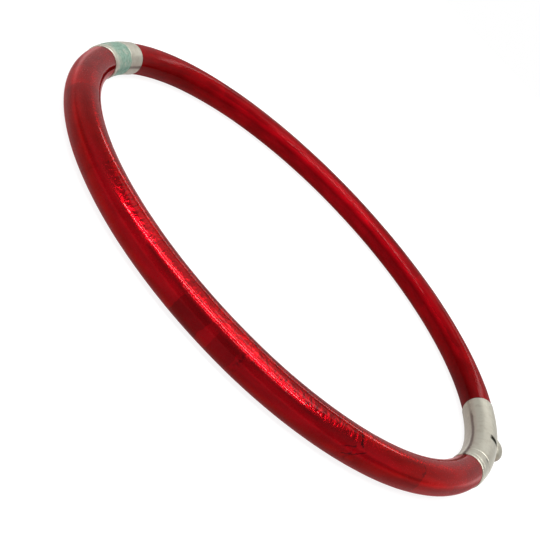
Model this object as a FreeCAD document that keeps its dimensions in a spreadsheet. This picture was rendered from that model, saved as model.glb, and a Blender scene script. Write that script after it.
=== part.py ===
"""Hinged tubular bangle bracelet in red enamel and silver, with a push-button box clasp.

The ring lies flat in the XY plane, with its centre at the origin and +Z up. Angles are
measured anticlockwise from +X. The clasp is at +X and the hinge at -X. The half on the +Y
side is fixed, and the half on the -Y side swings about the hinge pin.
Lengths are millimetres and angles are degrees.
"""
import FreeCAD
import Part

import math
import os

import Sketcher

# Driving dimensions: alias, value, meaning.
DIMENSIONS = [
    ("ring_radius", 33.0, "centreline radius of the closed ring"),
    ("tube_radius", 1.95, "outer radius of the round enamelled tube"),
    ("fitting_radius", 2.05, "outer radius of the silver fittings, proud of the enamel"),
    ("enamel_bore", 1.50, "inner radius of the enamel sleeve"),
    ("core_radius", 1.45, "outer radius of the core tube"),
    ("dowel_radius", 1.03, "radius of the dowels and of the core tube's bore"),
    ("dowel_reach", 5.0, "angle that a dowel covers inside the core tube"),
    ("far_dowel_depth", 2.6, "angle that the far hinge dowel covers past the enamel"),
    ("near_dowel_depth", 5.0, "angle that the near hinge dowel covers past the enamel"),
    ("tongue_dowel_depth", 2.6, "angle that the tongue cap's dowel covers past the enamel"),
    ("rim_round", 0.08, "rounding of the outer rims"),
    ("far_enamel_from", 14.0, "start angle of the fixed half's enamel"),
    ("far_enamel_to", 174.7, "end angle of the fixed half's enamel"),
    ("near_enamel_from", -169.7, "start angle of the swinging half's enamel"),
    ("near_enamel_to", -19.7, "end angle of the swinging half's enamel"),
    ("hinge_seam", 180.7, "angle of the seam between the two hinge caps"),
    ("clasp_seam", -14.6, "angle of the seam between the housing and the tongue cap"),
    ("seam_half_gap", 0.05, "angle left open on each side of a seam"),
    ("ferrule_width", 1.7, "angle covered by a ferrule"),
    ("ferrule_round", 0.22, "rounding of a ferrule's rims"),
    ("knuckle_offset", 0.90, "pin axis outward from the tube's centreline"),
    ("knuckle_radius", 1.08, "radius of the hinge knuckles"),
    ("knuckle_inset", 0.02, "depth of the knuckles and the pin below the caps' surface"),
    ("knuckle_clearance", 0.05, "running clearance round and between the knuckles"),
    ("lug_half_height", 0.57, "half height of the middle knuckle"),
    ("pin_radius", 0.35, "radius of the hinge pin"),
    ("pin_clearance", 0.05, "running clearance of the pin in the middle knuckle"),
    ("relief_angle", 25.0, "angle cut from each cap outside the pin, which stops the swing"),
    ("housing_bore", 1.50, "radius of the housing's bore"),
    ("housing_wall_from", 11.5, "angle where the housing's solid end starts"),
    ("button_angle", 1.0, "angle of the button's axis"),
    ("button_half_length", 1.90, "half length of the oval button along the tube"),
    ("button_half_width", 1.42, "half width of the oval button across the tube"),
    ("button_clearance", 0.05, "running clearance round the button"),
    ("button_foot", 0.85, "foot of the button's stem above the tube's centreline"),
    ("button_shoulder", 1.55, "height where the button's dome starts"),
    ("button_dome", 1.80, "height of the button's dome"),
    ("button_well", 0.30, "floor of the button's hole above the tube's centreline"),
    ("flange_floor", 0.62, "underside of the button's flange"),
    ("flange_height", 0.28, "thickness of the button's flange"),
    ("flange_half_width", 1.05, "half width of the flange across the tube"),
    ("flange_back", 1.95, "reach of the flange towards the catch plate"),
    ("flange_front", 2.50, "reach of the flange away from the catch plate"),
    ("slot_angle", -3.1, "angle of the saw-cut for the catch plate"),
    ("slot_width", 0.60, "width of the saw-cut along the tube"),
    ("slot_floor", -0.17, "floor of the saw-cut from the tube's centreline"),
    ("plate_floor", 0.66, "lower edge of the catch plate from the centreline"),
    ("plate_radius", 1.50, "radius of the catch plate's outer edge"),
    ("tongue_inner", 66.10, "inner face of the tongue bar from the hinge pin"),
    ("tongue_outer", 66.60, "outer face of the tongue bar from the hinge pin"),
    ("tongue_half_width", 0.85, "half height of the tongue bar and the spring leaf"),
    ("tongue_root", -8.0, "angle of the tongue's root about the hinge pin"),
    ("tongue_tip", 4.35, "angle of the tongue's round nose about the hinge pin"),
    ("nose_radius", 0.40, "radius of the tongue's round nose"),
    ("leaf_pivot", 3.80, "angle of the leaf's fold about the hinge pin"),
    ("leaf_thickness", 0.25, "thickness of the spring leaf"),
    ("leaf_length", 5.50, "length of the spring leaf from its fold to its free end"),
    ("leaf_slope", 3.2, "angle that the relaxed leaf stands away from the tongue bar"),
    ("leaf_gap", 0.10, "clearance between the leaf's fold and the tongue bar"),
]


def make_sheet(doc):
    """Puts the driving dimensions in a spreadsheet, one alias per row."""
    sheet = doc.addObject("Spreadsheet::Sheet", "Dimensions")
    for row, (alias, value, meaning) in enumerate(DIMENSIONS, start=1):
        sheet.set(f"A{row}", str(value))
        sheet.set(f"B{row}", meaning)
        sheet.setAlias(f"A{row}", alias)
    doc.recompute()
    return sheet


def turned(angle, place="placement(vector(0; 0; 0); rotation(vector(0; 0; 1); 0))"):
    """Returns the expression for a placement turned about the ring's axis by an angle."""
    return f"placement(vector(0; 0; 0); rotation(vector(0; 0; 1); {angle})) * {place}"


def at_section(obj, angle, out, along, up, swap_axes=False):
    """Binds an object's origin to a place beside the tube's centreline.

    out is measured outward from the centreline, along runs anticlockwise and up is +Z.
    swap_axes lays the object's own Z outward, its X along the tube and its Y up.
    """
    spin = "rotation(vector(1; 1; 1); 120)" if swap_axes else "rotation(vector(0; 0; 1); 0)"
    place = f"placement(vector(Dimensions.ring_radius + {out}; {along}; {up}); {spin})"
    obj.setExpression("Placement", turned(angle, place))


def at_pin(obj, lift, turn, ahead="0", spin="0"):
    """Binds an object's origin to the hinge pin, turned about it, moved ahead and spun there."""
    seam = "Dimensions.hinge_seam"
    reach = "(Dimensions.ring_radius + Dimensions.knuckle_offset)"
    pin = f"vector({reach} * cos({seam}); {reach} * sin({seam}); {lift})"
    obj.setExpression(
        "Placement",
        f"placement({pin}; rotation(vector(0; 0; 1); {turn}))"
        f" * placement(vector({ahead}; 0; 0); rotation(vector(0; 0; 1); {spin}))",
    )


def origin_feature(body, role):
    """Returns one of the body's own origin planes or axes."""
    return next(f for f in body.Origin.OriginFeatures if f.Role == role)


def sketch_on(body, name, role):
    """Adds an empty sketch on one of the body's origin planes."""
    sketch = body.newObject("Sketcher::SketchObject", name)
    sketch.AttachmentSupport = [(origin_feature(body, role), "")]
    sketch.MapMode = "FlatFace"
    return sketch


def add_circle(sketch, radius):
    """Draws a circle centred on the tube's centreline, with its radius bound to an expression."""
    centre = FreeCAD.Vector(cell(sketch, "ring_radius"), 0, 0)
    circle = sketch.addGeometry(Part.Circle(centre, FreeCAD.Vector(0, 0, 1), 1.0), False)
    sketch.addConstraint(Sketcher.Constraint("PointOnObject", circle, 3, -1))
    distance = sketch.addConstraint(Sketcher.Constraint("DistanceX", -1, 1, circle, 3, centre.x))
    size = sketch.addConstraint(Sketcher.Constraint("Radius", circle, 1.0))
    sketch.setExpression(f"Constraints[{distance}]", "Dimensions.ring_radius")
    sketch.setExpression(f"Constraints[{size}]", radius)


def cell(obj, alias):
    """Reads a driving dimension from the sheet of the object's document."""
    return float(obj.Document.getObject("Dimensions").get(alias))


def revolve(body, kind, name, sketch, angle):
    """Adds a Revolution or a Groove of a sketch about the body's Z axis."""
    feature = body.newObject(f"PartDesign::{kind}", name)
    feature.Profile = sketch
    feature.ReferenceAxis = (origin_feature(body, "Z_Axis"), [""])
    feature.setExpression("Angle", angle)
    return feature


def is_rim(curve, radius):
    """Tells whether a curve is a circle across the tube with the given radius."""
    tolerance = 1e-6
    if not isinstance(curve, Part.Circle):
        return False
    return abs(curve.Radius - radius) < tolerance and abs(curve.Axis.z) < tolerance


def round_rims(body, radius, size):
    """Rounds the end rims of a tube, found by the radius of their circles."""
    body.Document.recompute()
    base = body.Tip
    rims = [
        f"Edge{number}"
        for number, edge in enumerate(base.Shape.Edges, start=1)
        if is_rim(edge.Curve, radius)
    ]
    fillet = body.newObject("PartDesign::Fillet", f"{body.Name}_rims")
    fillet.Base = (base, rims)
    fillet.setExpression("Radius", size)
    return fillet


def tube_arc(doc, label, outer, bore, start, end, rim=None):
    """Makes an arc of round tube, or of solid rod when bore is None, between two angles."""
    body = doc.addObject("PartDesign::Body", label)
    section = sketch_on(body, f"{label}_section", "XZ_Plane")
    add_circle(section, outer)
    if bore:
        add_circle(section, bore)
    revolve(body, "Revolution", f"{label}_arc", section, f"({end}) - ({start})")
    body.setExpression("Placement", turned(start))
    if rim:
        doc.recompute()
        outer_radius = section.getDatum(2).Value
        round_rims(body, outer_radius, rim)
    return body


def cylinder_at_pin(doc, name, radius, low, high):
    """Makes a cylinder round the hinge pin's axis between two heights."""
    cylinder = doc.addObject("Part::Cylinder", name)
    cylinder.setExpression("Radius", radius)
    cylinder.setExpression("Height", f"({high}) - ({low})")
    at_pin(cylinder, low, "0")
    return cylinder


def combine(doc, kind, name, base, tool):
    """Makes a Part Cut or Common of two objects."""
    result = doc.addObject(f"Part::{kind}", name)
    result.Base = base
    result.Tool = tool
    return result


def fuse(doc, name, shapes):
    """Makes one solid of several objects that overlap or share a face."""
    result = doc.addObject("Part::MultiFuse", name)
    result.Shapes = shapes
    result.Refine = True
    return result


def cut_all(doc, label, base, tools):
    """Cuts a list of tools from a base one after another, and gives the result the label."""
    result = base
    for number, tool in enumerate(tools, start=1):
        result = combine(doc, "Cut", f"{label}_cut_{number}", result, tool)
    return result


def torus(doc, name, radius):
    """Makes a full ring of round rod on the tube's centreline."""
    ring = doc.addObject("Part::Torus", name)
    ring.setExpression("Radius1", "Dimensions.ring_radius")
    ring.setExpression("Radius2", radius)
    return ring


def make_enamelled_arc(doc, side, start, end, core_start, core_end):
    """Makes the enamel, the foil under it and the core tube of one half."""
    enamel = tube_arc(
        doc, f"{side}_enamel", "Dimensions.tube_radius", "Dimensions.enamel_bore", start, end,
        rim="Dimensions.rim_round",
    )
    foil = tube_arc(
        doc, f"{side}_foil", "Dimensions.enamel_bore", "Dimensions.core_radius", start, end
    )
    core = tube_arc(
        doc, f"{side}_core_tube", "Dimensions.core_radius", "Dimensions.dowel_radius",
        core_start, core_end,
    )
    return [enamel, foil, core]


def make_dowel(doc, label, start, end):
    """Makes a short curved peg that joins a core tube to its end piece."""
    return tube_arc(doc, label, "Dimensions.dowel_radius", None, start, end)


def make_ferrule(doc, label, start, end):
    """Makes a narrow round-edged ring that closes the end of an enamel sleeve."""
    return tube_arc(
        doc, label, "Dimensions.fitting_radius", "Dimensions.core_radius", start, end,
        rim="Dimensions.ferrule_round",
    )


def relief_box(doc, name, turn):
    """Makes the corner block that clears a hinge cap outside the pin."""
    box = doc.addObject("Part::Box", name)
    for side in ("Length", "Width"):
        box.setExpression(side, "2 * Dimensions.tube_radius")
    box.setExpression("Height", "3 * Dimensions.tube_radius")
    at_pin(box, "-1.5 * Dimensions.tube_radius", f"Dimensions.hinge_seam + {turn}")
    return box


def make_hinge(doc, envelope, far_dowel, near_dowel):
    """Makes the two hinge caps with their knuckles, and the pin."""
    gap = "Dimensions.seam_half_gap"
    seam = "Dimensions.hinge_seam"
    full = "Dimensions.fitting_radius"
    lug = "Dimensions.lug_half_height"
    knuckle = "Dimensions.knuckle_radius"
    clearance = "Dimensions.knuckle_clearance"
    pin_radius = "Dimensions.pin_radius"

    far_block = tube_arc(
        doc, "far_hinge_block", full, None, "Dimensions.far_enamel_to", f"{seam} - {gap}",
        rim="Dimensions.rim_round",
    )
    near_block = tube_arc(
        doc, "near_hinge_block", full, None, f"{seam} - 360 + {gap}",
        "Dimensions.near_enamel_from - Dimensions.ferrule_width", rim="Dimensions.rim_round",
    )

    far_relieved = combine(
        doc, "Cut", "far_relieved", far_block,
        relief_box(doc, "far_relief", "-Dimensions.relief_angle"),
    )
    outer_knuckles = combine(
        doc, "Common", "outer_knuckles",
        cylinder_at_pin(doc, "outer_knuckle_rod", knuckle, f"-{full}", full), envelope,
    )
    far_cap = cut_all(
        doc, "far_hinge", fuse(doc, "far_knuckled", [far_relieved, outer_knuckles]),
        [
            cylinder_at_pin(
                doc, "middle_knuckle_room", f"{knuckle} + {clearance}",
                f"-{lug} - {clearance}", f"{lug} + {clearance}",
            ),
            cylinder_at_pin(doc, "far_pin_hole", pin_radius, f"-2 * {full}", f"2 * {full}"),
            far_dowel,
        ],
    )
    far_cap.Label = "far_hinge_cap"

    near_relieved = cut_all(
        doc, "near_relieved", near_block,
        [
            relief_box(doc, "near_relief", "Dimensions.relief_angle - 90"),
            cylinder_at_pin(
                doc, "upper_knuckle_room", f"{knuckle} + {clearance}", lug, f"2 * {full}"
            ),
            cylinder_at_pin(
                doc, "lower_knuckle_room", f"{knuckle} + {clearance}", f"-2 * {full}", f"-{lug}"
            ),
        ],
    )
    middle_knuckle = combine(
        doc, "Common", "middle_knuckle",
        cylinder_at_pin(doc, "middle_knuckle_rod", knuckle, f"-{lug}", lug), envelope,
    )
    near_cap = cut_all(
        doc, "near_hinge", fuse(doc, "near_knuckled", [near_relieved, middle_knuckle]),
        [
            cylinder_at_pin(
                doc, "near_pin_hole", f"{pin_radius} + Dimensions.pin_clearance",
                f"-{full}", full,
            ),
            near_dowel,
        ],
    )
    near_cap.Label = "near_hinge_cap"

    pin = combine(
        doc, "Common", "pin", cylinder_at_pin(doc, "pin_rod", pin_radius, f"-{full}", full),
        envelope,
    )
    pin.Label = "hinge_pin"
    return [far_cap, near_cap, pin]


def oval_rod(doc, name, half_length, half_width, floor, height):
    """Makes an oval rod on the button's axis, long side along the tube."""
    oval = doc.addObject("Part::Ellipse", f"{name}_outline")
    oval.setExpression("MajorRadius", half_length)
    oval.setExpression("MinorRadius", half_width)
    at_section(oval, "Dimensions.button_angle", floor, "0", "0", swap_axes=True)
    rod = doc.addObject("Part::Extrusion", name)
    rod.Base = oval
    rod.DirMode = "Normal"
    rod.Solid = True
    rod.setExpression("LengthFwd", height)
    return rod


def make_button(doc):
    """Makes the oval domed button, its stem and its retaining flange."""
    half_length = "Dimensions.button_half_length"
    half_width = "Dimensions.button_half_width"
    shoulder = "Dimensions.button_shoulder"
    stem = oval_rod(
        doc, "button_stem", half_length, half_width, "Dimensions.button_foot",
        f"{shoulder} - Dimensions.button_foot",
    )
    dome = doc.addObject("Part::Ellipsoid", "button_dome")
    dome.Angle1 = 0
    dome.setExpression("Radius1", "Dimensions.button_dome")
    dome.setExpression("Radius2", half_length)
    dome.setExpression("Radius3", half_width)
    at_section(dome, "Dimensions.button_angle", shoulder, "0", "0", swap_axes=True)
    flange = doc.addObject("Part::Box", "button_flange")
    flange.setExpression("Length", "Dimensions.flange_back + Dimensions.flange_front")
    flange.setExpression("Width", "2 * Dimensions.flange_half_width")
    flange.setExpression("Height", "Dimensions.flange_height")
    at_section(
        flange, "Dimensions.button_angle", "Dimensions.flange_floor", "-Dimensions.flange_back",
        "-Dimensions.flange_half_width", swap_axes=True,
    )
    button = fuse(doc, "button", [stem, dome, flange])
    button.Label = "push_button"
    return button


def slot_box(doc, name, floor):
    """Makes a thin block across the tube at the saw-cut, from a floor outward."""
    box = doc.addObject("Part::Box", name)
    box.setExpression("Length", "2 * Dimensions.tube_radius")
    box.setExpression("Width", "Dimensions.slot_width")
    box.setExpression("Height", "4 * Dimensions.tube_radius")
    at_section(
        box, "Dimensions.slot_angle", floor, "-Dimensions.slot_width / 2",
        "-2 * Dimensions.tube_radius",
    )
    return box


def make_housing(doc, dowel):
    """Makes the clasp housing: a bored tube with a solid end, the button's hole and a saw-cut."""
    mouth = "(Dimensions.clasp_seam + Dimensions.seam_half_gap)"
    body = tube_arc(
        doc, "housing_body", "Dimensions.fitting_radius", None, mouth, "Dimensions.far_enamel_from",
        rim="Dimensions.rim_round",
    )
    bore = sketch_on(body, "housing_bore_section", "XZ_Plane")
    add_circle(bore, "Dimensions.housing_bore")
    revolve(body, "Groove", "housing_bore", bore, f"Dimensions.housing_wall_from - {mouth}")
    well = oval_rod(
        doc, "button_hole", "Dimensions.button_half_length + Dimensions.button_clearance",
        "Dimensions.button_half_width + Dimensions.button_clearance", "Dimensions.button_well",
        "2 * Dimensions.tube_radius",
    )
    saw_cut = slot_box(doc, "saw_cut", "Dimensions.slot_floor")
    housing = cut_all(doc, "housing", body, [dowel, well, saw_cut])
    housing.Label = "clasp_housing"
    return housing


def make_catch_plate(doc):
    """Makes the catch plate that stands in the saw-cut, below the tube's surface."""
    plate = combine(
        doc, "Common", "plate", slot_box(doc, "plate_blank", "Dimensions.plate_floor"),
        torus(doc, "plate_envelope", "Dimensions.plate_radius"),
    )
    plate.Label = "catch_plate"
    return plate


def make_tongue(doc):
    """Makes the tongue bar: an arc about the hinge pin with a round nose."""
    half_width = "Dimensions.tongue_half_width"
    bar = doc.addObject("PartDesign::Body", "tongue_strip")
    section = sketch_on(bar, "tongue_section", "XZ_Plane")
    inner, outer = cell(bar, "tongue_inner"), cell(bar, "tongue_outer")
    top = cell(bar, "tongue_half_width")
    corners = [(inner, -top), (outer, -top), (outer, top), (inner, top)]
    points = [FreeCAD.Vector(x, y, 0) for x, y in corners]
    for first, second in zip(points, points[1:] + points[:1]):
        section.addGeometry(Part.LineSegment(first, second), False)
    for side in range(4):
        section.addConstraint(Sketcher.Constraint("Coincident", side, 2, (side + 1) % 4, 1))
        square = "Horizontal" if side % 2 == 0 else "Vertical"
        section.addConstraint(Sketcher.Constraint(square, side))
    for point, kind, value, expression in (
        ((0, 1), "DistanceX", inner, "Dimensions.tongue_inner"),
        ((1, 1), "DistanceX", outer, "Dimensions.tongue_outer"),
        ((0, 1), "DistanceY", -top, f"-{half_width}"),
        ((2, 1), "DistanceY", top, half_width),
    ):
        index = section.addConstraint(Sketcher.Constraint(kind, -1, 1, *point, value))
        section.setExpression(f"Constraints[{index}]", expression)
    revolve(
        bar, "Revolution", "tongue_sweep", section, "Dimensions.tongue_tip - Dimensions.tongue_root"
    )
    at_pin(bar, "0", "Dimensions.tongue_root")

    nose = doc.addObject("Part::Cylinder", "tongue_nose")
    nose.setExpression("Radius", "Dimensions.nose_radius")
    nose.setExpression("Height", f"2 * {half_width}")
    at_pin(
        nose, f"-{half_width}", "Dimensions.tongue_tip",
        ahead="Dimensions.tongue_inner + Dimensions.nose_radius",
    )
    tongue = fuse(doc, "tongue", [bar, nose])
    tongue.Label = "tongue_bar"
    return tongue


def make_leaf(doc):
    """Makes the spring leaf: a flat strip with round ends that starts at the tongue's fold."""
    leaf = doc.addObject("PartDesign::Body", "spring_leaf")
    outline = sketch_on(leaf, "leaf_outline", "XY_Plane")
    length, thick = cell(leaf, "leaf_length"), cell(leaf, "leaf_thickness")
    radius = thick / 2
    up = FreeCAD.Vector(0, 0, 1)
    start, end = FreeCAD.Vector(0, 0, 0), FreeCAD.Vector(length, 0, 0)
    quarter = math.pi / 2
    outline.addGeometry(
        [
            Part.ArcOfCircle(Part.Circle(start, up, radius), quarter, 3 * quarter),
            Part.LineSegment(FreeCAD.Vector(0, -radius, 0), FreeCAD.Vector(length, -radius, 0)),
            Part.ArcOfCircle(Part.Circle(end, up, radius), -quarter, quarter),
            Part.LineSegment(FreeCAD.Vector(length, radius, 0), FreeCAD.Vector(0, radius, 0)),
        ],
        False,
    )
    joints = [(0, 2, 1, 1), (1, 2, 2, 1), (2, 2, 3, 1), (3, 2, 0, 1)]
    for joint in joints:
        outline.addConstraint(Sketcher.Constraint("Tangent", *joint))
    outline.addConstraint(Sketcher.Constraint("Coincident", 0, 3, -1, 1))
    outline.addConstraint(Sketcher.Constraint("PointOnObject", 2, 3, -1))
    size = outline.addConstraint(Sketcher.Constraint("Radius", 0, radius))
    outline.setExpression(f"Constraints[{size}]", "Dimensions.leaf_thickness / 2")
    reach = outline.addConstraint(Sketcher.Constraint("DistanceX", 0, 3, 2, 3, length))
    outline.setExpression(f"Constraints[{reach}]", "Dimensions.leaf_length")
    pad = leaf.newObject("PartDesign::Pad", "leaf_pad")
    pad.Profile = outline
    pad.Midplane = True
    pad.setExpression("Length", "2 * Dimensions.tongue_half_width")

    fold = "Dimensions.tongue_outer + Dimensions.leaf_gap + Dimensions.leaf_thickness / 2"
    at_pin(leaf, "0", "Dimensions.leaf_pivot", ahead=fold, spin="Dimensions.leaf_slope - 90")
    return leaf


def make_tongue_cap(doc, dowel, tongue):
    """Makes the short cap that carries the tongue, with sockets for the tongue and the dowel."""
    block = tube_arc(
        doc, "tongue_cap_block", "Dimensions.fitting_radius", None,
        "Dimensions.near_enamel_to + Dimensions.ferrule_width",
        "Dimensions.clasp_seam - Dimensions.seam_half_gap", rim="Dimensions.rim_round",
    )
    cap = cut_all(doc, "tongue_socket", block, [dowel, tongue])
    cap.Label = "tongue_cap"
    return cap


def build(doc):
    """Builds every sub-part of the bangle and returns them."""
    far_from, far_to = "Dimensions.far_enamel_from", "Dimensions.far_enamel_to"
    near_from, near_to = "Dimensions.near_enamel_from", "Dimensions.near_enamel_to"
    ferrule = "Dimensions.ferrule_width"
    reach = "Dimensions.dowel_reach"
    far_depth, near_depth = "Dimensions.far_dowel_depth", "Dimensions.near_dowel_depth"

    parts = make_enamelled_arc(doc, "far", far_from, far_to, far_from, far_to)
    parts += make_enamelled_arc(
        doc, "near", near_from, near_to, f"{near_from} - {ferrule}", f"{near_to} + {ferrule}"
    )
    dowels = [
        make_dowel(doc, "far_clasp_dowel", "Dimensions.housing_wall_from", f"{far_from} + {reach}"),
        make_dowel(doc, "far_hinge_dowel", f"{far_to} - {reach}", f"{far_to} + {far_depth}"),
        make_dowel(doc, "near_hinge_dowel", f"{near_from} - {near_depth}", f"{near_from} + {reach}"),
        make_dowel(
            doc, "near_clasp_dowel", f"{near_to} - {reach}",
            f"{near_to} + Dimensions.tongue_dowel_depth",
        ),
    ]
    far_clasp_dowel, far_hinge_dowel, near_hinge_dowel, near_clasp_dowel = dowels
    parts += dowels
    parts += [
        make_ferrule(doc, "near_hinge_ferrule", f"{near_from} - {ferrule}", near_from),
        make_ferrule(doc, "near_clasp_ferrule", near_to, f"{near_to} + {ferrule}"),
    ]

    envelope = torus(doc, "knuckle_envelope", "Dimensions.fitting_radius - Dimensions.knuckle_inset")
    parts += make_hinge(doc, envelope, far_hinge_dowel, near_hinge_dowel)
    tongue = make_tongue(doc)
    parts += [
        make_housing(doc, far_clasp_dowel),
        make_catch_plate(doc),
        make_button(doc),
        make_tongue_cap(doc, near_clasp_dowel, tongue),
        tongue,
        make_leaf(doc),
    ]
    return parts


def check(doc, parts):
    """Stops with a message if an object failed or a sub-part is not one valid solid."""
    for obj in doc.Objects:
        if "Invalid" in obj.State or "Error" in obj.State:
            raise RuntimeError(f"{obj.Label} failed: {obj.State}")
    for part in parts:
        shape = part.Shape
        if shape.isNull() or not shape.isValid() or len(shape.Solids) != 1:
            raise RuntimeError(f"{part.Label} is not one valid solid")


def export(parts):
    """Writes each sub-part to its own STEP file."""
    os.makedirs("parts", exist_ok=True)
    for part in parts:
        part.Shape.exportStep(f"parts/{part.Label}.step")
        print(f"{part.Label}: {part.Shape.Volume:.3f} mm3")


def main():
    doc = FreeCAD.newDocument("bangle")
    make_sheet(doc)
    parts = build(doc)
    doc.recompute()
    check(doc, parts)
    export(parts)


main()
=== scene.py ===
"""Studio scene of a hinged red enamel bangle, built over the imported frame.

Positions are in metres in the row frame. Textures work in ring coordinates: degrees round the
ring, and millimetres outward from the tube's centreline and up from the ring's plane.
"""
import math

import bpy
from mathutils import Matrix, Vector, noise


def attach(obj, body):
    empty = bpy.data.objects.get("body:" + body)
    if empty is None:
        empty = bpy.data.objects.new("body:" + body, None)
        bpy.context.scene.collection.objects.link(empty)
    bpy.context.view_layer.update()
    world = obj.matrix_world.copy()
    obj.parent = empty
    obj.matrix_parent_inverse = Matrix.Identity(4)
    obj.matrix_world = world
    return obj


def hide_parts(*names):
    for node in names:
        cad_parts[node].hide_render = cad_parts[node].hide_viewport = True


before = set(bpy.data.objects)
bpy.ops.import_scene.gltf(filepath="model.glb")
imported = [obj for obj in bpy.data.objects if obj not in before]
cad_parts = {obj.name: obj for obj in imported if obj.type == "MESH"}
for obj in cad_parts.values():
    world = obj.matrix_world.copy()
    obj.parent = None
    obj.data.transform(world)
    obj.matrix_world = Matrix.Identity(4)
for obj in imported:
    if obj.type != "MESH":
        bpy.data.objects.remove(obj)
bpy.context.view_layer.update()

MM = 0.001
RING = 33.0  # ring centreline radius, mm
TUBE = 1.95  # enamelled tube's radius, mm
FITTING = 2.05  # silver fittings' radius, mm
BORE = 1.50  # enamel's inner radius, mm
FERRULE_BORE = 1.45  # ferrules' inner radius, mm

# Ends of the enamel, degrees round the ring.
FAR_ENAMEL = (14.0, 174.7)
NEAR_ENAMEL = (-169.7, -19.7)
FERRULE_WIDTH = 1.7  # degrees


# ---------------------------------------------------------------- meshes


def ring_point(angle, out, up):
    """Returns a point, in metres, from degrees round the ring and millimetres out and up."""
    turn = math.radians(angle)
    reach = RING + out
    return Vector((reach * math.cos(turn), reach * math.sin(turn), up)) * MM


def rounded_end(end, outer, size, inward, steps=8):
    """Lists (angle, radius) stations of a quarter round from a tube's end face to its side."""
    stations = []
    for step in range(steps + 1):
        turn = math.radians(90 * step / steps)
        depth = size * (1 - math.sin(turn))
        stations.append((end + inward * math.degrees(depth / RING), outer - size * (1 - math.cos(turn))))
    return stations[::-1]


def wobble(angle, side, amount):
    """Returns the slight unevenness of a hand-finished surface, in millimetres."""
    turn = math.radians(side)
    place = Vector((angle * 0.10, 0.55 * math.cos(turn), 0.55 * math.sin(turn)))
    fine = Vector((angle * 0.42, 1.3 * math.cos(turn), 1.3 * math.sin(turn)))
    return amount * (noise.noise(place) + 0.35 * noise.noise(fine))


def tube(name, start, end, outer, bore, end_round, step, uneven):
    """Makes a closed arc of tube with rounded outer rims and an even grid, step degrees long."""
    around = 96
    first = rounded_end(start, outer, end_round, 1)
    last = rounded_end(end, outer, end_round, -1)[::-1]
    low, high = first[-1][0], last[0][0]
    count = max(2, round((high - low) / step))
    middle = [(low + (high - low) * i / count, outer) for i in range(1, count)]
    count = max(2, round((end - start) / (4 * step)))
    back = [(end + (start - end) * i / count, bore) for i in range(count + 1)]
    loop = first + middle + last + back
    vertices, faces = [], []
    for angle, radius in loop:
        for k in range(around):
            side = 360 * k / around
            lift = wobble(angle, side, uneven) if radius > bore else 0.0
            turn = math.radians(side)
            r = radius + lift
            vertices.append(ring_point(angle, r * math.cos(turn), r * math.sin(turn)))
    for i in range(len(loop)):
        j = (i + 1) % len(loop)
        for k in range(around):
            n = (k + 1) % around
            faces.append((i * around + k, i * around + n, j * around + n, j * around + k))
    return mesh_object(name, vertices, faces)


def mesh_object(name, vertices, faces):
    """Makes an object with smooth faces, outward normals and sharp edges over 40 degrees."""
    mesh = bpy.data.meshes.new(name)
    mesh.from_pydata(vertices, [], faces)
    mesh.validate()
    mesh.update()
    obj = bpy.data.objects.new(name, mesh)
    bpy.context.scene.collection.objects.link(obj)
    bpy.context.view_layer.objects.active = obj
    bpy.ops.object.select_all(action="DESELECT")
    obj.select_set(True)
    bpy.ops.object.mode_set(mode="EDIT")
    bpy.ops.mesh.select_all(action="SELECT")
    bpy.ops.mesh.normals_make_consistent(inside=False)
    bpy.ops.object.mode_set(mode="OBJECT")
    bpy.ops.object.shade_smooth_by_angle(angle=math.radians(40))
    return obj


# ---------------------------------------------------------------- material nodes


def new_material(name):
    """Makes an empty material with a Principled shader wired to its output."""
    material = bpy.data.materials.new(name)
    material.use_nodes = True
    nodes = material.node_tree.nodes
    nodes.clear()
    output = nodes.new("ShaderNodeOutputMaterial")
    shader = nodes.new("ShaderNodeBsdfPrincipled")
    material.node_tree.links.new(shader.outputs["BSDF"], output.inputs["Surface"])
    return material, material.node_tree, shader


def plug(tree, socket, value):
    """Links a socket, or sets its value when a plain number or colour is given."""
    if isinstance(value, bpy.types.NodeSocket):
        tree.links.new(value, socket)
    else:
        socket.default_value = value


def calc(tree, operation, *values):
    """Adds a Math node and returns its output."""
    node = tree.nodes.new("ShaderNodeMath")
    node.operation = operation
    for socket, value in zip(node.inputs, values):
        plug(tree, socket, value)
    return node.outputs[0]


def remap(tree, value, low, high, to_low=0.0, to_high=1.0, smooth=True):
    """Maps a value from one range to another, clamped."""
    node = tree.nodes.new("ShaderNodeMapRange")
    node.interpolation_type = "SMOOTHSTEP" if smooth else "LINEAR"
    for socket, entry in zip(node.inputs[:5], (value, low, high, to_low, to_high)):
        plug(tree, socket, entry)
    return node.outputs[0]


def blend_colour(tree, factor, first, second, mode="MIX"):
    """Mixes two colours and returns the result."""
    node = tree.nodes.new("ShaderNodeMix")
    node.data_type = "RGBA"
    node.blend_type = mode
    plug(tree, node.inputs["Factor"], factor)
    plug(tree, node.inputs["A"], first)
    plug(tree, node.inputs["B"], second)
    return node.outputs["Result"]


def ring_coordinates(tree, base):
    """Returns the angle from a base angle in degrees, and out and up in mm, of a point."""
    place = tree.nodes.new("ShaderNodeTexCoord").outputs["Object"]
    turn = tree.nodes.new("ShaderNodeVectorRotate")
    turn.rotation_type = "Z_AXIS"
    plug(tree, turn.inputs["Vector"], place)
    turn.inputs["Angle"].default_value = math.radians(-base)
    split = tree.nodes.new("ShaderNodeSeparateXYZ")
    plug(tree, split.inputs[0], turn.outputs[0])
    x, y, z = split.outputs
    angle = calc(tree, "DEGREES", calc(tree, "ARCTAN2", y, x))
    reach = calc(tree, "SQRT", calc(tree, "ADD", calc(tree, "MULTIPLY", x, x), calc(tree, "MULTIPLY", y, y)))
    out = calc(tree, "MULTIPLY_ADD", reach, 1 / MM, -RING)
    up = calc(tree, "MULTIPLY", z, 1 / MM)
    return angle, out, up


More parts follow.
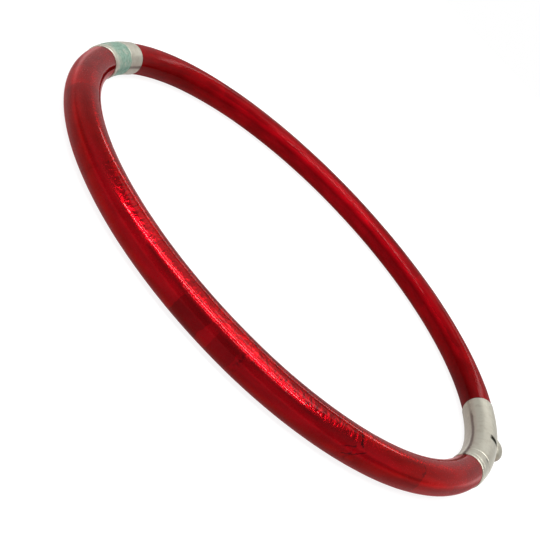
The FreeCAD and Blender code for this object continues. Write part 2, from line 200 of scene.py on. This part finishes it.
def straight(tree, angle, out, up, along=1.0, across=1.0):
    """Returns the point as if the tube were straight, in mm, stretched along and across."""
    join = tree.nodes.new("ShaderNodeCombineXYZ")
    plug(tree, join.inputs[0], calc(tree, "MULTIPLY", angle, along * math.radians(RING)))
    plug(tree, join.inputs[1], calc(tree, "MULTIPLY", out, across))
    plug(tree, join.inputs[2], calc(tree, "MULTIPLY", up, across))
    return join.outputs[0]


def noise_at(tree, vector, scale, detail=2.0, roughness=0.5, distortion=0.0):
    """Adds a Noise texture and returns its value."""
    node = tree.nodes.new("ShaderNodeTexNoise")
    plug(tree, node.inputs["Vector"], vector)
    node.inputs["Scale"].default_value = scale
    node.inputs["Detail"].default_value = detail
    node.inputs["Roughness"].default_value = roughness
    node.inputs["Distortion"].default_value = distortion
    return node.outputs[0]


def voronoi_at(tree, vector, scale):
    """Adds a Voronoi texture and returns the distance to its nearest point."""
    node = tree.nodes.new("ShaderNodeTexVoronoi")
    plug(tree, node.inputs["Vector"], vector)
    node.inputs["Scale"].default_value = scale
    return node.outputs["Distance"]


def bump(tree, height, depth, normal=None):
    """Adds a Bump node for a height of 0 to 1 with a depth in mm."""
    node = tree.nodes.new("ShaderNodeBump")
    node.inputs["Strength"].default_value = 1.0
    node.inputs["Distance"].default_value = depth * MM
    plug(tree, node.inputs["Height"], height)
    if normal is not None:
        plug(tree, node.inputs["Normal"], normal)
    return node.outputs["Normal"]


def ramp(tree, value, stops, interpolation="LINEAR"):
    """Adds a Color Ramp of (position, grey) stops and returns its colour."""
    node = tree.nodes.new("ShaderNodeValToRGB")
    node.color_ramp.interpolation = interpolation
    elements = node.color_ramp.elements
    while len(elements) < len(stops):
        elements.new(1.0)
    for element, (position, grey) in zip(elements, stops):
        element.position = position
        element.color = (grey, grey, grey, 1.0)
    plug(tree, node.inputs[0], value)
    return node.outputs[0]


def angle_ramp(tree, angle, stops, interpolation="LINEAR"):
    """Maps an angle of 0 to 180 degrees by stops of (angle, level)."""
    return ramp(
        tree, calc(tree, "DIVIDE", angle, 180.0), [(a / 180, level) for a, level in stops], interpolation
    )


def product(tree, first, *others):
    """Multiplies values together."""
    for other in others:
        first = calc(tree, "MULTIPLY", first, other)
    return first


def near_to(tree, value, middle, reach, core):
    """Returns 1 where a value is within core of a middle value, falling to 0 at reach."""
    distance = calc(tree, "ABSOLUTE", calc(tree, "SUBTRACT", value, middle))
    return remap(tree, distance, reach, core)


# ---------------------------------------------------------------- enamel over foil

ENAMEL_BRIGHT = (0.38, 0.0015, 0.006, 1)
ENAMEL_DEEP = (0.27, 0.001, 0.004, 1)
ENAMEL_END_SHADE = (0.06, 0.004, 0.006, 1)
BUBBLE = (0.08, 0.001, 0.004, 1)
OVERLAP_DARK_AND_FOLD_SHADE = (0.03, 0.001, 0.003, 1)


def fold_shade(tree, angle, around, first, last, strength):
    """Painted shade along a fold across the tube, between points of (angle from base, angle round the tube).
    """
    slope = (last[0] - first[0]) / (last[1] - first[1])
    line = calc(tree, "MULTIPLY_ADD", around, slope, first[0] - slope * first[1])
    low, high = sorted((first[1], last[1]))
    return product(
        tree,
        near_to(tree, angle, line, 0.30, 0.08),
        remap(tree, around, low - 4, low + 4),
        remap(tree, around, high + 4, high - 4),
        strength,
    )


def overlap_lines(tree, lined, cracks):
    """Thin lines across the tube where one sheet of foil ends over the next."""
    stops = [(0.0, 0.0), (180.0, 0.0)]
    for start in cracks:
        stops += [(start - 0.45, 0.0), (start, 1.0), (start + 0.3, 0.0)]
    return angle_ramp(tree, lined, sorted(stops))


def sheet_tones(tree, angle, lined, up, drift, sheets, crest_tones_and_painted_light):
    """Tone of each sheet of foil, with painted light in the tones along the crest, and painted shade that
    darkens the enamel low on the tube.
    """
    # Along the crest the sheets take their own tones, which hold painted light as well as the foil's tone.
    crest = remap(tree, calc(tree, "MULTIPLY_ADD", drift, 0.3, up), 1.05, 1.25)
    low_tone = angle_ramp(tree, lined, sheets, "CONSTANT")
    top_tone_and_painted_light = angle_ramp(tree, lined, crest_tones_and_painted_light, "CONSTANT")
    tone = blend_colour(tree, crest, low_tone, top_tone_and_painted_light)
    # Painted shade: the enamel darkens low on the tube, most towards each half's ends.
    low_shade_depth = angle_ramp(tree, angle, [(21.6, 0.33), (50.4, 0.52), (129.6, 0.52), (154.8, 0.33)])
    painted_low_shade = remap(tree, up, 0.2, calc(tree, "MULTIPLY_ADD", low_shade_depth, -3.4, 2.55), low_shade_depth, 1.0)
    return tone, painted_low_shade


def foil_relief(tree, angle, out, up, place, overlap, grain, sparkle):
    """Normal of crumpled facets, fine ribs across the tube, the overlaps and a fine grain."""
    crumple = angle_ramp(tree, angle, sparkle)
    crumple = calc(tree, "MULTIPLY", crumple, remap(tree, up, 1.35, 1.6, 0.15, 1.0))
    warp = tree.nodes.new("ShaderNodeTexNoise")
    plug(tree, warp.inputs["Vector"], place)
    warp.inputs["Scale"].default_value = 0.9
    warp.inputs["Detail"].default_value = 2.0
    warped = tree.nodes.new("ShaderNodeVectorMath")
    warped.operation = "MULTIPLY_ADD"
    plug(tree, warped.inputs[0], warp.outputs["Color"])
    warped.inputs[1].default_value = (1.6, 1.6, 1.6)
    plug(tree, warped.inputs[2], place)
    facets = voronoi_at(tree, warped.outputs[0], 1.7)
    ribs = noise_at(tree, straight(tree, angle, out, up, 1.0, 0.22), 3.6, 3.0, 0.55, 0.3)
    # Heights are centred on 0, so that fading the crumpling doesn't tilt the surface.
    normal = bump(tree, calc(tree, "MULTIPLY", calc(tree, "SUBTRACT", facets, 0.45), crumple), 0.06)
    normal = bump(tree, calc(tree, "MULTIPLY", calc(tree, "SUBTRACT", ribs, 0.5), crumple), 0.045, normal)
    normal = bump(tree, overlap, 0.05, normal)
    return bump(tree, grain, 0.002, normal)


def enamel(
    name, base, ends, rough, gloss, gloss_rough, sheets, crest_tones_and_painted_light, cracks, sparkle, fold_shades=()
):
    """Translucent red enamel over crumpled foil.

    Angles are degrees from base. ends are the sleeve's two ends, rough is the foil's roughness,
    gloss the weight of the clear coat and gloss_rough the coat's roughness. sheets and
    crest_tones_and_painted_light list (angle, tone) where each sheet of foil begins, low on the tube and
    along its crest, and the crest's tones also hold painted light. cracks lists the angles where sheets
    overlap, sparkle (angle, strength) of the crumpling, and creases (first point, last point, strength) of
    folds with painted shade.
    """
    material, tree, shader = new_material(name)
    angle, out, up = ring_coordinates(tree, base)
    place = straight(tree, angle, out, up)

    # The sheets' edges run across the tube and wander a little.
    drift = noise_at(tree, place, 0.5, 4.0, 0.65)
    lined = calc(tree, "ADD", angle, calc(tree, "MULTIPLY_ADD", drift, 1.8, -0.9))
    tone, painted_low_shade = sheet_tones(tree, angle, lined, up, drift, sheets, crest_tones_and_painted_light)
    overlap = overlap_lines(tree, lined, cracks)
    grain = noise_at(tree, place, 7.0, 3.0, 0.65)
    plug(tree, shader.inputs["Normal"], foil_relief(tree, angle, out, up, place, overlap, grain, sparkle))

    # Colour: the sheets' tones, painted shade at the enamel's ends beside the silver, dark overlaps, painted
    # shade along folds, trapped bubbles.
    streaks = noise_at(tree, straight(tree, angle, out, up, 0.3, 1.0), 1.0, 4.0)
    colour = blend_colour(tree, remap(tree, streaks, 0.3, 0.7), ENAMEL_BRIGHT, ENAMEL_DEEP)
    colour = blend_colour(tree, 1.0, colour, tone, "MULTIPLY")
    # Painted shade darkens the enamel low on the tube.
    colour = blend_colour(tree, 1.0, colour, painted_low_shade, "MULTIPLY")
    # Painted shade darkens the enamel's ends where they meet the silver.
    first_end_shade = remap(tree, angle, ends[0] + 0.7, ends[0] + 0.1)
    last_end_shade = remap(tree, angle, ends[1] - 0.7, ends[1] - 0.1)
    end_shade = calc(tree, "MAXIMUM", first_end_shade, last_end_shade)
    colour = blend_colour(tree, calc(tree, "MULTIPLY", end_shade, 0.8), colour, ENAMEL_END_SHADE)
    broken = remap(tree, noise_at(tree, place, 2.2, 4.0, 0.7), 0.45, 0.58)
    colour = blend_colour(tree, product(tree, overlap, broken, 0.8), colour, OVERLAP_DARK_AND_FOLD_SHADE)
    around = calc(tree, "DEGREES", calc(tree, "ARCTAN2", up, out))
    waver = noise_at(tree, place, 1.4, 4.0, 0.65)
    folded = calc(tree, "ADD", angle, calc(tree, "MULTIPLY_ADD", waver, 2.6, -1.3))
    # Painted shade along each fold of the foil.
    for first, last, strength in fold_shades:
        colour = blend_colour(tree, fold_shade(tree, folded, around, first, last, strength), colour, OVERLAP_DARK_AND_FOLD_SHADE)
    bubbles = remap(tree, voronoi_at(tree, place, 0.9), 0.06, 0.04)
    colour = blend_colour(tree, calc(tree, "MULTIPLY", bubbles, 0.5), colour, BUBBLE)
    plug(tree, shader.inputs["Base Color"], colour)
    shader.inputs["Metallic"].default_value = 1.0
    roughness = remap(tree, grain, 0.3, 0.7, rough - 0.05, rough + 0.07, smooth=False)
    plug(tree, shader.inputs["Roughness"], roughness)
    shader.inputs["Specular Tint"].default_value = (0.55, 0.03, 0.04, 1)

    # The coat is weaker where the surface turns away, and low on the tube.
    facing = tree.nodes.new("ShaderNodeLayerWeight")
    facing.inputs["Blend"].default_value = 0.5
    turned = remap(tree, facing.outputs["Facing"], 0.66, 0.92, gloss, 0.25 * gloss)
    worn = remap(tree, up, 0.7, 1.3, 0.35, 1.0)
    plug(tree, shader.inputs["Coat Weight"], calc(tree, "MULTIPLY", turned, worn))
    shader.inputs["Coat Roughness"].default_value = gloss_rough
    shader.inputs["Coat IOR"].default_value = 1.2
    return material


# ---------------------------------------------------------------- silver and other metals

SILVER_BRIGHT = (0.59, 0.565, 0.475, 1)
SILVER_LOW_SHADE = (0.26, 0.22, 0.175, 1)
TARNISH = (0.40, 0.34, 0.25, 1)
INNER_DARK_REFLECTION = (0.08, 0.04, 0.028, 1)
SAW_CUT_SHADE = (0.075, 0.068, 0.045, 1)
SEAM_MARK_DARK = (0.15, 0.145, 0.105, 1)
GREEN_DEEP = (0.055, 0.16, 0.115, 1)
GREEN_PALE = (0.17, 0.30, 0.235, 1)
SAW_CUT = -3.1  # degrees round the ring
SEAM_MARK = -15.2  # degrees round the ring


def inner_reflection_line(tree, angle, out, up, cloud, slope, height):
    """Painted dark reflection, brown, along the inner side, at a height in mm that falls by slope mm a
    degree.
    """
    line = calc(tree, "MULTIPLY_ADD", angle, slope, up)
    line = calc(tree, "ADD", line, calc(tree, "MULTIPLY_ADD", cloud, 0.25, -height))
    return product(
        tree,
        remap(tree, calc(tree, "ABSOLUTE", line), 0.30, 0.06),
        remap(tree, out, -1.2, -1.6),
        remap(tree, angle, 11.0, 6.0, 0.25, 1.0),
        0.85,
    )


def clasp_shade_and_mark(tree, colour, angle, out, up):
    """Painted shade in and around the saw-cut, and a dark mark at the clasp's seam."""
    # Painted shade darkens the saw-cut and its edges.
    cut = product(
        tree,
        near_to(tree, angle, SAW_CUT, 1.25, 0.85),
        remap(tree, out, -0.45, -0.15),
        remap(tree, out, 1.15, 0.80),
        remap(tree, up, 0.2, 0.4),
    )
    # A dark mark at the clasp's seam.
    seam_mark = product(
        tree,
        near_to(tree, angle, SEAM_MARK, 0.8, 0.2),
        near_to(tree, out, 0.55, 0.45, 0.1),
        remap(tree, up, 0.2, 0.6, 0.0, 0.65),
    )
    return blend_colour(tree, seam_mark, blend_colour(tree, cut, colour, SAW_CUT_SHADE), SEAM_MARK_DARK)


def verdigris_cover(tree, angle, place, start, end):
    """Patchy cover of verdigris between two angles, from 0 to 1."""
    mottle = noise_at(tree, place, 1.3, 5.0, 0.65, 0.3)
    rise = remap(tree, calc(tree, "MULTIPLY_ADD", mottle, 1.2, angle), start + 0.4, start + 1.0)
    fall = remap(tree, calc(tree, "MULTIPLY_ADD", mottle, 4.0, angle), end + 4.5, end + 1.5)
    return product(tree, rise, fall, remap(tree, mottle, 0.30, 0.52, 0.45, 1.0))


def silver(name, base=0.0, verdigris=None):
    """Worn silver plate, darker and browner low on the tube as painted shade, with a painted dark reflection
    along the inner side and green verdigris between two angles.
    """
    material, tree, shader = new_material(name)
    angle, out, up = ring_coordinates(tree, base)
    place = straight(tree, angle, out, up)
    scratch = noise_at(tree, straight(tree, angle, out, up, 0.5, 1.0), 3.0, 4.0, 0.7, 0.5)
    dents = noise_at(tree, place, 0.8, 2.0)
    cloud = noise_at(tree, place, 1.1, 4.0, 0.6)
    # Painted shade: the silver turns darker and browner low on the tube.
    low = remap(tree, calc(tree, "MULTIPLY_ADD", cloud, 0.5, up), 1.2, 0.35)
    colour = blend_colour(tree, low, SILVER_BRIGHT, SILVER_LOW_SHADE)
    tarnish = calc(tree, "MULTIPLY", remap(tree, cloud, 0.45, 0.75), 0.4)
    colour = blend_colour(tree, tarnish, colour, TARNISH)
    # Painted dark reflection along the inner side.
    slope, height = (0.0, 0.5) if verdigris else (0.031, 0.62)
    colour = blend_colour(tree, inner_reflection_line(tree, angle, out, up, cloud, slope, height), colour, INNER_DARK_REFLECTION)
    rough = remap(tree, scratch, 0.3, 0.7, 0.38, 0.48, smooth=False)
    metal = 1.0
    normal = bump(tree, dents, 0.012)
    normal = bump(tree, scratch, 0.001, normal)
    if verdigris:
        cover = verdigris_cover(tree, angle, place, *verdigris)
        shade = remap(tree, noise_at(tree, place, 2.6, 4.0, 0.6), 0.35, 0.65)
        green = blend_colour(tree, shade, GREEN_DEEP, GREEN_PALE)
        colour = blend_colour(tree, calc(tree, "MULTIPLY", cover, 0.9), colour, green)
        rough = calc(tree, "MULTIPLY_ADD", cover, 0.3, rough)
        metal = calc(tree, "MULTIPLY_ADD", cover, -0.9, 1.0)
        crust = calc(tree, "MULTIPLY", cover, noise_at(tree, place, 5.0, 4.0, 0.7))
        normal = bump(tree, crust, 0.02, normal)
    else:
        # Painted shade in the saw-cut, and a dark mark at the clasp's seam.
        colour = clasp_shade_and_mark(tree, colour, angle, out, up)
    plug(tree, shader.inputs["Base Color"], colour)
    plug(tree, shader.inputs["Roughness"], rough)
    plug(tree, shader.inputs["Metallic"], metal)
    plug(tree, shader.inputs["Normal"], normal)
    return material


def plain_metal(name, tint, dark, low, high):
    """Drawn or rolled metal with streaks along the ring."""
    material, tree, shader = new_material(name)
    angle, out, up = ring_coordinates(tree, 0.0)
    streak = noise_at(tree, straight(tree, angle, out, up, 0.3, 1.0), 7.0, 3.0, 0.6)
    plug(tree, shader.inputs["Base Color"], blend_colour(tree, remap(tree, streak, 0.35, 0.7), tint, dark))
    plug(tree, shader.inputs["Roughness"], remap(tree, streak, 0.3, 0.7, low, high, smooth=False))
    plug(tree, shader.inputs["Normal"], bump(tree, streak, 0.0005))
    shader.inputs["Metallic"].default_value = 1.0
    return material


def assign(obj, material):
    """Gives every material slot of an object one material."""
    if not obj.material_slots:
        obj.data.materials.append(material)
    for slot in obj.material_slots:
        slot.material = material


near_red = enamel(
    "near_red_enamel",
    base=-180.0,
    ends=(NEAR_ENAMEL[0] + 180, NEAR_ENAMEL[1] + 180),
    rough=0.22,
    gloss=1.0,
    gloss_rough=0.03,
    sheets=[
        (0, 1.0), (25, 1.5), (33, 1.0), (56, 1.15), (82, 0.68), (87.5, 0.98), (89.5, 0.72),
        (94, 1.0), (119, 0.92), (135, 1.45), (146, 1.1),
    ],
    # Crest tones with painted light, mostly lighter than the tones low on the tube.
    crest_tones_and_painted_light=[
        (0, 1.35), (25, 1.7), (33, 1.3), (56, 1.25), (62, 1.3), (73, 0.9), (94, 1.2), (96, 0.8),
        (110, 1.0), (118, 1.5), (135, 1.75), (151, 1.5),
    ],
    cracks=(56, 82, 95, 116.5, 118, 120),
    sparkle=[(0, 0.15), (50, 0.2), (62, 0.8), (100, 1.0), (117, 0.8), (124, 0.25), (180, 0.15)],
    # Folds with painted shade: (first point, last point, strength).
    fold_shades=[
        ((118.6, 90), (119.3, 40), 0.85),
        ((120.6, 32), (117.0, -6), 0.85),
        ((118.4, 36), (115.8, 12), 0.6),
        ((55.6, 88), (56.4, 58), 0.75),
        ((135.6, 85), (135.1, 36), 0.5),
    ],
)
far_red = enamel(
    "far_red_enamel",
    base=0.0,
    ends=FAR_ENAMEL,
    rough=0.5,
    gloss=0.55,
    gloss_rough=0.14,
    sheets=[
        (0, 1.0), (30, 1.1), (52, 1.0), (79, 1.15), (101, 1.1), (127, 1.2), (150, 1.15), (163, 1.25),
    ],
    # Crest tones with painted shade, darker than the tones low on the tube.
    crest_tones_and_painted_light=[(0, 0.85), (34, 0.75), (60, 0.56), (88, 0.62), (112, 0.7), (139, 0.9), (155, 0.95)],
    cracks=(),
    sparkle=[(0, 0.15), (60, 0.25), (90, 0.45), (130, 0.25), (180, 0.15)],
)
clasp_silver = silver("clasp_silver")
hinge_silver = silver("hinge_silver", 180.0, verdigris=(0.6, 7.6))
foil = plain_metal("silver_foil", (0.82, 0.80, 0.78, 1), (0.70, 0.68, 0.66, 1), 0.2, 0.35)
brass = plain_metal("core_brass", (0.72, 0.55, 0.27, 1), (0.55, 0.40, 0.19, 1), 0.25, 0.4)
# The catch plate's near-black metal is painted shade, darkening the slot it sits in.
slot_shade_metal = plain_metal("slot_shade_silver", (0.12, 0.11, 0.08, 1), (0.05, 0.045, 0.03, 1), 0.4, 0.6)
steel = plain_metal("spring_steel", (0.40, 0.39, 0.375, 1), (0.35, 0.34, 0.32, 1), 0.26, 0.34)

NODE_MATERIALS = {
    foil: ("far_foil", "near_foil"),
    brass: (
        "far_core_tube", "near_core_tube", "far_clasp_dowel", "far_hinge_dowel",
        "near_hinge_dowel", "near_clasp_dowel",
    ),
    clasp_silver: ("clasp_housing", "tongue_cap", "push_button"),
    slot_shade_metal: ("catch_plate",),
    hinge_silver: ("far_hinge_cap", "near_hinge_cap", "hinge_pin"),
    steel: ("tongue_bar", "spring_leaf"),
}
for material, names in NODE_MATERIALS.items():
    for name in names:
        assign(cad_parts[name], material)

PIECES = (
    # name, node, body, slot, material, (start, end), outer radius, bore, end round, step, unevenness
    (
        "far_enamel_sleeve", "far_enamel", "far_half", "red_enamel", far_red,
        FAR_ENAMEL, TUBE, BORE, 0.10, 0.5, 0.014,
    ),
    (
        "near_enamel_sleeve", "near_enamel", "near_half", "red_enamel", near_red,
        NEAR_ENAMEL, TUBE, BORE, 0.10, 0.5, 0.014,
    ),
    (
        "near_hinge_ring", "near_hinge_ferrule", "near_half", "verdigris_plate", hinge_silver,
        (NEAR_ENAMEL[0] - FERRULE_WIDTH, NEAR_ENAMEL[0]), FITTING, FERRULE_BORE, 0.12, 0.1, 0.004,
    ),
    (
        "near_clasp_ring", "near_clasp_ferrule", "near_half", "silver_plate", clasp_silver,
        (NEAR_ENAMEL[1], NEAR_ENAMEL[1] + FERRULE_WIDTH), FITTING, FERRULE_BORE, 0.12, 0.1, 0.004,
    ),
)
for name, node, body, slot, material, ends, outer, bore, end_round, step, uneven in PIECES:
    piece = tube(name, ends[0], ends[1], outer, bore, end_round, step, uneven)
    assign(piece, material)
    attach(piece, body)
    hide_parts(node)


# ---------------------------------------------------------------- stage, light and camera


def area_light(name, place, width, depth, radiance):
    """Adds a softbox that faces the bangle, from its place and size in metres and its radiance."""
    data = bpy.data.lights.new(name, "AREA")
    data.shape = "RECTANGLE"
    data.size, data.size_y = width, depth
    data.energy = radiance * math.pi * width * depth
    light = bpy.data.objects.new(name, data)
    bpy.context.scene.collection.objects.link(light)
    away = Vector(place).normalized()
    side = away.cross(Vector((1, 0, 0))).normalized()
    light.matrix_world = Matrix.Translation(place) @ Matrix(
        (side.cross(away), side, away)
    ).transposed().to_4x4()
    return light


FLOOR_REACH = 1.3  # metres
corners = [
    Vector((x, y, 0)) * FLOOR_REACH + Vector((0, 0, -FITTING * MM))
    for x, y in ((-1, -1), (1, -1), (1, 1), (-1, 1))
]
floor = mesh_object("floor", corners, [(0, 1, 2, 3)])
paper, paper_tree, paper_shader = new_material("floor_paper")
grain = noise_at(paper_tree, paper_tree.nodes.new("ShaderNodeTexCoord").outputs["Object"], 900.0, 2.0)
plug(paper_tree, paper_shader.inputs["Roughness"], remap(paper_tree, grain, 0.3, 0.7, 0.85, 0.95))
paper_shader.inputs["Base Color"].default_value = (0.20, 0.20, 0.20, 1)
paper_shader.inputs["Emission Color"].default_value = (1, 1, 1, 1)
paper_shader.inputs["Emission Strength"].default_value = 0.88
assign(floor, paper)

area_light("overhead_softbox", (0, 0.32, 2.0), 2.1, 2.1, 0.9)
area_light("rear_strip", (0.42, 0.30, 1.97), 1.0, 0.34, 3.2)
area_light("front_edge", (-0.25, -0.76, 1.92), 3.2, 0.08, 42.0)
area_light("middle_edge", (0, -0.33, 1.96), 2.5, 0.05, 22.0)
area_light("front_lamp", (0.24, -1.28, 1.88), 1.9, 0.06, 13.0)
area_light("back_lamp", (0, 1.92, 1.44), 1.9, 0.20, 4.0)

world = bpy.data.worlds.new("studio")
world.use_nodes = True
background = world.node_tree.nodes["Background"]
sky = world.node_tree.nodes.new("ShaderNodeSeparateXYZ")
plug(world.node_tree, sky.inputs[0], world.node_tree.nodes.new("ShaderNodeTexCoord").outputs["Generated"])
glow = ramp(world.node_tree, sky.outputs["Z"], [(0.045, 1.0), (0.08, 0.6), (0.40, 0.55), (0.75, 0.33)])
plug(world.node_tree, background.inputs["Strength"], glow)
background.inputs["Color"].default_value = (1.0, 1.0, 1.0, 1)
bpy.context.scene.world = world

CAMERA_PLACE = Vector((-1.505, -105.561, 35.471)) * MM
CAMERA_AIM = Vector((-0.75, -1.559, -4.111)) * MM
CAMERA_ROLL = 46.707  # degrees, anticlockwise as the camera sees it

camera_data = bpy.data.cameras.new("camera")
camera_data.lens = 59.32
camera_data.sensor_width = 36.0
camera_data.clip_start = 0.001
camera = bpy.data.objects.new("camera", camera_data)
back = (CAMERA_PLACE - CAMERA_AIM).normalized()
level = Vector((0, 0, 1)).cross(back).normalized()
upright = Matrix((level, back.cross(level), back)).transposed().to_4x4()
camera.matrix_world = (
    Matrix.Translation(CAMERA_PLACE) @ upright @ Matrix.Rotation(math.radians(CAMERA_ROLL), 4, "Z")
)
bpy.context.scene.collection.objects.link(camera)
bpy.context.scene.camera = camera
bpy.context.scene.view_settings.view_transform = "Standard"
